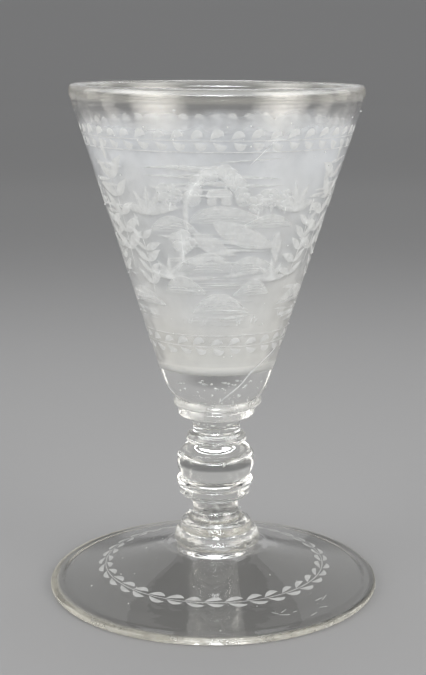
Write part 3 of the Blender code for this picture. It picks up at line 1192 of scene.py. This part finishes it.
def make_seeds(name, places, slip):
    """Tiny bubbles in the glass, each a little drawn out and shown as a white film, a painted glint. places
    holds each one's centre and size.
    """
    shape = bmesh.new()
    for centre, size in places:
        swing = Matrix.Rotation(slip.uniform(0, math.tau), 4, "Z")
        turn = swing @ Matrix.Rotation(slip.uniform(0.8, 1.57), 4, "Y")
        scale = Matrix.Diagonal((size, size, size * slip.uniform(1.0, 2.0), 1))
        placed = Matrix.Translation(centre) @ turn @ scale
        bmesh.ops.create_icosphere(shape, subdivisions=2, radius=1, matrix=placed)
    engraved_piece(name, shape, frosted(name + "_bubble", 0.9, engraved=False))


def make_bowl_and_foot_seeds():
    """Bubbles in the solid base of the bowl, specks on its wall, and bubbles in the foot."""
    slip = random.Random(4)
    bowl = []
    for _ in range(64):
        height = slip.uniform(79.0, 87.0) * MM
        reach = (bowl_radius(height) - 1.5 * MM) * slip.random() ** 0.5
        angle = slip.uniform(0, math.tau)
        centre = glass_point(angle, reach, height)
        bowl.append((centre, slip.uniform(0.20, 0.42) * MM))
    # Specks laid on the outside of the bowl wall, each a painted glint of a bubble in it
    for _ in range(130):
        height = slip.uniform(95, 190) * MM
        angle = slip.uniform(0, math.tau)
        reach = bowl_radius(height) + unevenness(angle, height, False)
        centre = glass_point(angle, reach, height)
        bowl.append((centre, slip.uniform(0.13, 0.32) * MM))
    make_seeds("bowl_seeds", bowl, slip)
    foot = []
    for _ in range(34):
        radius = slip.uniform(20, 60) * MM
        angle = slip.uniform(0, math.tau)
        height = foot_top_height(radius) - slip.uniform(0.8, 2.0) * MM
        centre = glass_point(angle, radius, height)
        foot.append((centre, slip.uniform(0.12, 0.30) * MM))
    make_seeds("foot_seeds", foot, slip)


def make_stem_seeds():
    """A few larger bubbles close under the surface of the knops and the neck between them."""
    slip = random.Random(12)
    places = []
    for node in ("upper_neck", "ring_knop", "ball_knop", "stem_base", "foot_boss"):
        low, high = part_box(node)
        for _ in range(6):
            height = low.z + (high.z - low.z) * slip.uniform(0.25, 0.75)
            reach = min(high.x, 13 * MM) * slip.uniform(0.3, 0.8)
            angle = slip.uniform(0, math.tau)
            centre = glass_point(angle, reach, height)
            places.append((centre, slip.uniform(0.22, 0.50) * MM))
    make_seeds("stem_seeds", places, slip)


def make_scratches():
    """The crack low on the bowl, a scratch high on it, and a few on the foot where it was handled."""
    white = frosted("bright_scratch", 1.0, 0.05)
    crack = smooth_path([(29, 99.5), (15.3, 91.5), (9.2, 85.5), (2.5, 80.0), (1.3, 77.6)])
    for name, path, width in (
        ("bowl_crack", crack, 0.60),
        ("bowl_scratch", line((11.6, 170.8), (20.6, 179.4), 12), 0.20),
    ):
        shape = engraving()
        even_stroke(shape, bowl_sheet(0), path, width)
        engraved_piece(name, shape, white)
    shape = engraving()
    slip = random.Random(9)
    for _ in range(9):
        place = foot_sheet(slip.uniform(22, 52), slip.uniform(52, 60))
        start = (slip.uniform(-4, 4), slip.uniform(-1, 1))
        end = (start[0] + slip.uniform(2, 7), start[1] + slip.uniform(-1.5, 1.5))
        even_stroke(shape, place, line(start, end, 8), 0.16)
    engraved_piece("foot_scratches", shape, white)


# ---------------- stage, lights and camera


def make_floor():
    """A plain floor, which curves up into a wall all round."""
    outline = [(0.0, 0.0), (FLOOR_FLAT, 0.0)]
    outline += arc((FLOOR_FLAT, SWEEP_CURVE), (SWEEP_CURVE, SWEEP_CURVE), -90, 0, 16)[1:]
    outline.append((FLOOR_FLAT + SWEEP_CURVE, SWEEP_HEIGHT))
    shape = bmesh.new()
    points = [shape.verts.new((radius, 0, height)) for radius, height in outline]
    edges = [shape.edges.new(pair) for pair in zip(points, points[1:])]
    bmesh.ops.spin(shape, geom=points + edges, axis=(0, 0, 1), cent=(0, 0, 0), angle=math.tau, steps=96)
    bmesh.ops.remove_doubles(shape, verts=shape.verts, dist=0.1 * MM)
    bmesh.ops.recalc_face_normals(shape, faces=shape.faces)
    for face in shape.faces:
        face.smooth = True
    floor = linked_object("studio_sweep", shape)
    floor.data.materials.append(studio_paper())
    floor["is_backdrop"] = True


def make_world():
    """A dark room above the sweep."""
    world = bpy.data.worlds.new("studio")
    bpy.context.scene.world = world
    world.use_nodes = True
    background = world.node_tree.nodes["Background"]
    background.inputs["Color"].default_value = (*ROOM_COLOUR, 1)


def soft_box(name, azimuth, distance, height, width, tall, radiance, spread, colour):
    """A soft box aimed at the middle of the glass. Azimuth 0 is the camera's side, and 90 its right."""
    data = bpy.data.lights.new(name, "AREA")
    data.shape = "RECTANGLE"
    data.size, data.size_y = width, tall
    data.color = colour
    data.energy = radiance * width * tall * math.pi
    data.spread = math.radians(spread)
    lamp = bpy.data.objects.new(name, data)
    around = math.radians(azimuth)
    lamp.location = (distance * math.sin(around), -distance * math.cos(around), height)
    aim = Vector((0, 0, TOTAL_HEIGHT * 0.55)) - lamp.location
    lamp.rotation_mode = "QUATERNION"
    lamp.rotation_quaternion = aim.to_track_quat("-Z", "Y")
    lamp.visible_camera = False
    bpy.context.scene.collection.objects.link(lamp)


def make_lights():
    for box in SOFT_BOXES:
        soft_box(*box)


def make_camera():
    data = bpy.data.cameras.new("camera")
    data.lens = CAMERA_LENS
    data.sensor_width = 36.0
    data.clip_start = 0.01
    camera = bpy.data.objects.new("camera", data)
    camera.location = (CAMERA_SIDE, -CAMERA_DISTANCE, CAMERA_HEIGHT)
    camera.rotation_euler = Euler((math.pi / 2 - CAMERA_PITCH, 0, 0))
    bpy.context.scene.collection.objects.link(camera)
    bpy.context.scene.camera = camera


def set_light_paths():
    """Deep paths for stacked glass, and no caustics: lamps reach through glass by its own shader."""
    cycles = bpy.context.scene.cycles
    cycles.max_bounces = 32
    cycles.glossy_bounces = 16
    cycles.transmission_bounces = 32
    cycles.transparent_max_bounces = 64
    cycles.caustics_refractive = False
    cycles.caustics_reflective = False
    bpy.context.scene.view_settings.view_transform = "Standard"


make_camera()
make_world()
make_floor()
make_lights()
set_light_paths()
make_foot()
stem_glass = clear_glass("stem_clear_glass", STEM_TINT, 0.05)
wrinkled_glass = clear_glass("wrinkled_stem_glass", STEM_TINT, 0.8, waves_per_metre=WRINKLES_PER_METRE)
# The upper collar is whitened by a film of painted light.
collar_painted_light_glass = clear_glass("bloomed_collar_glass", STEM_TINT, 0.05, collar_painted_light, COLLAR_PAINTED_LIGHT_COLOUR)
make_bead("foot_boss", wrinkled_glass)
make_stem_base(wrinkled_glass)
for ring in ("upper_collar_top_ring", "upper_collar_bottom_ring"):
    make_bead(ring, collar_painted_light_glass)
for ring in ("lower_collar_top_ring", "lower_collar_bottom_ring", "ring_knop", "ball_knop"):
    make_bead(ring, stem_glass)
make_upper_neck(stem_glass)
make_bowl()
soft_cut = frosted("soft_bowl_engraving", 0.52, 0.35)
bright_cut = frosted("bright_bowl_engraving", 0.75, 0.4)
leaf_cut = frosted("leaf_bowl_engraving", 0.68, 0.3)
make_bowl_garlands(leaf_cut, bright_cut)
make_frieze(soft_cut, leaf_cut, bright_cut)
make_foot_garland()
make_bowl_and_foot_seeds()
make_stem_seeds()
make_scratches()

boxes = {"cad": CAD_BOX, "visual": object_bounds()}
{name: [list(corner) for corner in box] for name, box in boxes.items()}
